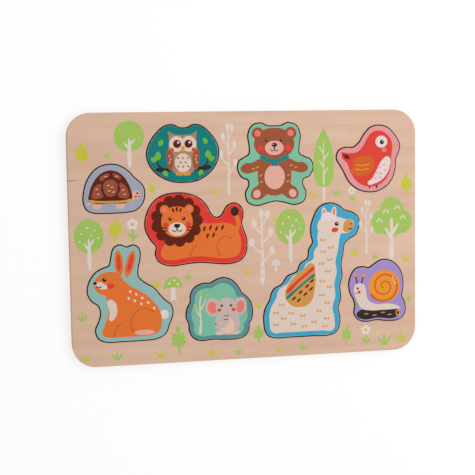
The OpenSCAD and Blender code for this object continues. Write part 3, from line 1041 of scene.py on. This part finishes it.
def film(ink_name, points, origin, scale, foot, top):
    """One printed shape: a closed curve through its points, filled and given its thickness."""
    bpy.ops.curve.primitive_bezier_circle_add(location=(0, 0, (foot + top) / 2))
    shape = bpy.context.object
    curve = shape.data
    curve.dimensions = "2D"
    curve.fill_mode = "BOTH"
    curve.resolution_u = sizes().print_steps
    curve.extrude = (top - foot) / 2
    knots = curve.splines[0].bezier_points
    if len(points) < len(knots):
        first, last = points[0], points[-1]
        points = points + [corner((first[0] + last[0]) / 2, (first[1] + last[1]) / 2)]
    knots.add(len(points) - len(knots))
    for knot, (x, y, *sharp) in zip(knots, points):
        knot.co = (origin[0] + x * scale, origin[1] + y * scale, 0)
        knot.handle_left_type = knot.handle_right_type = "VECTOR" if sharp else "AUTO"
    show_through = SHOW_THROUGH.get(ink_name, PLAIN_SHOW_THROUGH)
    curve.materials.append(flat_ink(ink_name.capitalize() + " Ink", INKS[ink_name], show_through))
    return shape


def printed(name, layers, origin, scale, ground):
    """The films of all layers, each a step above the one below, joined to one mesh."""
    step = sizes().ink_step
    films = []
    for level, layer in enumerate(layers, start=1):
        for order, (ink_name, points) in enumerate(layer):
            below = LAYER_SPREAD * (1 - order % LAYER_HEIGHTS / LAYER_HEIGHTS)
            top = ground + step * (level - below)
            films.append(film(ink_name, points, origin, scale, ground - step * FILM_ROOT, top))
    pick(*films)
    bpy.ops.object.convert(target="MESH")
    bpy.ops.object.mode_set(mode="EDIT")
    bpy.ops.mesh.select_all(action="SELECT")
    bpy.ops.mesh.remove_doubles(threshold=FILM_WELD)
    bpy.ops.mesh.normals_make_consistent(inside=False)
    bpy.ops.object.mode_set(mode="OBJECT")
    bpy.ops.object.join()
    print_mesh = bpy.context.object
    bpy.ops.object.transform_apply(location=True, rotation=True, scale=True)
    print_mesh.name = name
    print_mesh.data.name = name
    return print_mesh


class PUZZLE_OT_board_print(Operator):
    """Print the trees, ferns and grass between the pockets"""
    bl_idname = "puzzle.board_print"
    bl_label = "Board Print"

    def execute(self, context):
        picture = printed("board_print", meadow(), (0, 0), MM, PLATE_TOP)
        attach(picture, "board")
        return {"FINISHED"}


class PUZZLE_OT_animal_prints(Operator):
    """Print an animal on each loose piece"""
    bl_idname = "puzzle.animal_prints"
    bl_label = "Animal Prints"

    def execute(self, context):
        ground = PIECE_TOP - sizes().ink_room
        for animal in ANIMALS:
            low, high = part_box(animal + "_piece")
            scale = (high.x - low.x) * PERCENT
            picture = printed(animal + "_print", DRAWINGS[animal](), low.xy, scale, ground)
            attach(picture, animal)
        return {"FINISHED"}


# Stage


def set_table():
    """A wide sheet of white paper, which keeps the shadows and looks plain white to the camera."""
    bpy.ops.mesh.primitive_plane_add(size=TABLE_SIZE, location=(0, 0, 0))
    table = bpy.context.object
    table.name = "table"
    paper = bpy.data.materials.new("White Table")
    paper.use_nodes = True
    tree = paper.node_tree
    shader = tree.nodes["Principled BSDF"]
    feed(tree, shader, {
        "Base Color": PAPER, "Roughness": PAPER_ROUGHNESS, "Specular IOR Level": 0})
    seen = add(tree, "ShaderNodeLightPath").outputs["Is Camera Ray"]
    light = add(tree, "ShaderNodeEmission").outputs["Emission"]
    lifted = add(tree, "ShaderNodeMixShader", {
        "Fac": times(tree, seen, FLOOR_LIFT), 1: shader.outputs["BSDF"], 2: light})
    feed(tree, tree.nodes["Material Output"], {"Surface": lifted.outputs["Shader"]})
    table.data.materials.append(paper)


def hang_lamp():
    """A large round lamp, turned towards the middle of the board."""
    bpy.ops.object.light_add(type="AREA", location=LAMP_PLACE)
    lamp = bpy.context.object
    lamp.name = "soft_lamp"
    lamp.data.shape = "DISK"
    lamp.data.size = LAMP_WIDTH
    lamp.data.energy = LAMP_WATTS
    lamp.rotation_euler = Vector(LAMP_PLACE).to_track_quat("Z", "Y").to_euler()


def place_camera():
    """The photographer's camera."""
    place = Vector(CAMERA_PLACE) * MM + Vector((0, 0, PLATE_TOP))
    turn = [math.radians(angle) for angle in CAMERA_TURN]
    bpy.ops.object.camera_add(location=place, rotation=turn)
    camera = bpy.context.object
    camera.name = "photographer"
    camera.data.sensor_width = SENSOR_WIDTH
    camera.data.lens = CAMERA_LENS
    bpy.context.scene.camera = camera


def light_sky():
    """An even white sky, dimmer for the puzzle than for the camera and through clear things."""
    world = bpy.data.worlds.new("Studio")
    bpy.context.scene.world = world
    world.use_nodes = True
    tree = world.node_tree
    rays = add(tree, "ShaderNodeLightPath").outputs
    seen = maths(tree, "MAXIMUM", rays["Is Camera Ray"], rays["Is Transmission Ray"])
    level = add(tree, "ShaderNodeMapRange", {"Value": seen, "To Min": SKY_LEVEL, "To Max": 1})
    feed(tree, tree.nodes["Background"], {
        "Color": (1, 1, 1, 1), "Strength": level.outputs["Result"]})


class PUZZLE_OT_stage(Operator):
    """Set the puzzle on a white table in soft light, seen from where the photographer stood"""
    bl_idname = "puzzle.stage"
    bl_label = "Stage"

    def execute(self, context):
        set_table()
        hang_lamp()
        place_camera()
        light_sky()
        context.scene.view_settings.view_transform = "Standard"
        return {"FINISHED"}


class PUZZLE_PT_panel(Panel):
    """The puzzle's finish, size by size and step by step"""
    bl_idname = "PUZZLE_PT_panel"
    bl_label = "Inset Puzzle"
    bl_space_type = "VIEW_3D"
    bl_region_type = "UI"
    bl_category = "Puzzle"

    def draw(self, context):
        column = self.layout.column()
        for group in (sizes(), colours()):
            for name in group.bl_rna.properties.keys():
                if name not in ("rna_type", "name"):
                    column.prop(group, name)
        for step in STEPS:
            column.operator(step.bl_idname)


STEPS = (PUZZLE_OT_board, PUZZLE_OT_board_print, PUZZLE_OT_pieces, PUZZLE_OT_animal_prints,
         PUZZLE_OT_stage)
CLASSES = (PuzzleSizes, PuzzleColours) + STEPS + (PUZZLE_PT_panel,)


def register():
    for each in CLASSES:
        bpy.utils.register_class(each)
    bpy.types.Scene.puzzle_sizes = PointerProperty(type=PuzzleSizes)
    bpy.types.Scene.puzzle_colours = PointerProperty(type=PuzzleColours)


def unregister():
    del bpy.types.Scene.puzzle_colours
    del bpy.types.Scene.puzzle_sizes
    for each in reversed(CLASSES):
        bpy.utils.unregister_class(each)


def main():
    register()
    for make_group in (grain_group, ply_group, ink_group):
        make_group()
    bpy.ops.puzzle.board()
    bpy.ops.puzzle.board_print()
    bpy.ops.puzzle.pieces()
    bpy.ops.puzzle.animal_prints()
    bpy.ops.puzzle.stage()


if __name__ == "__main__":
    main()
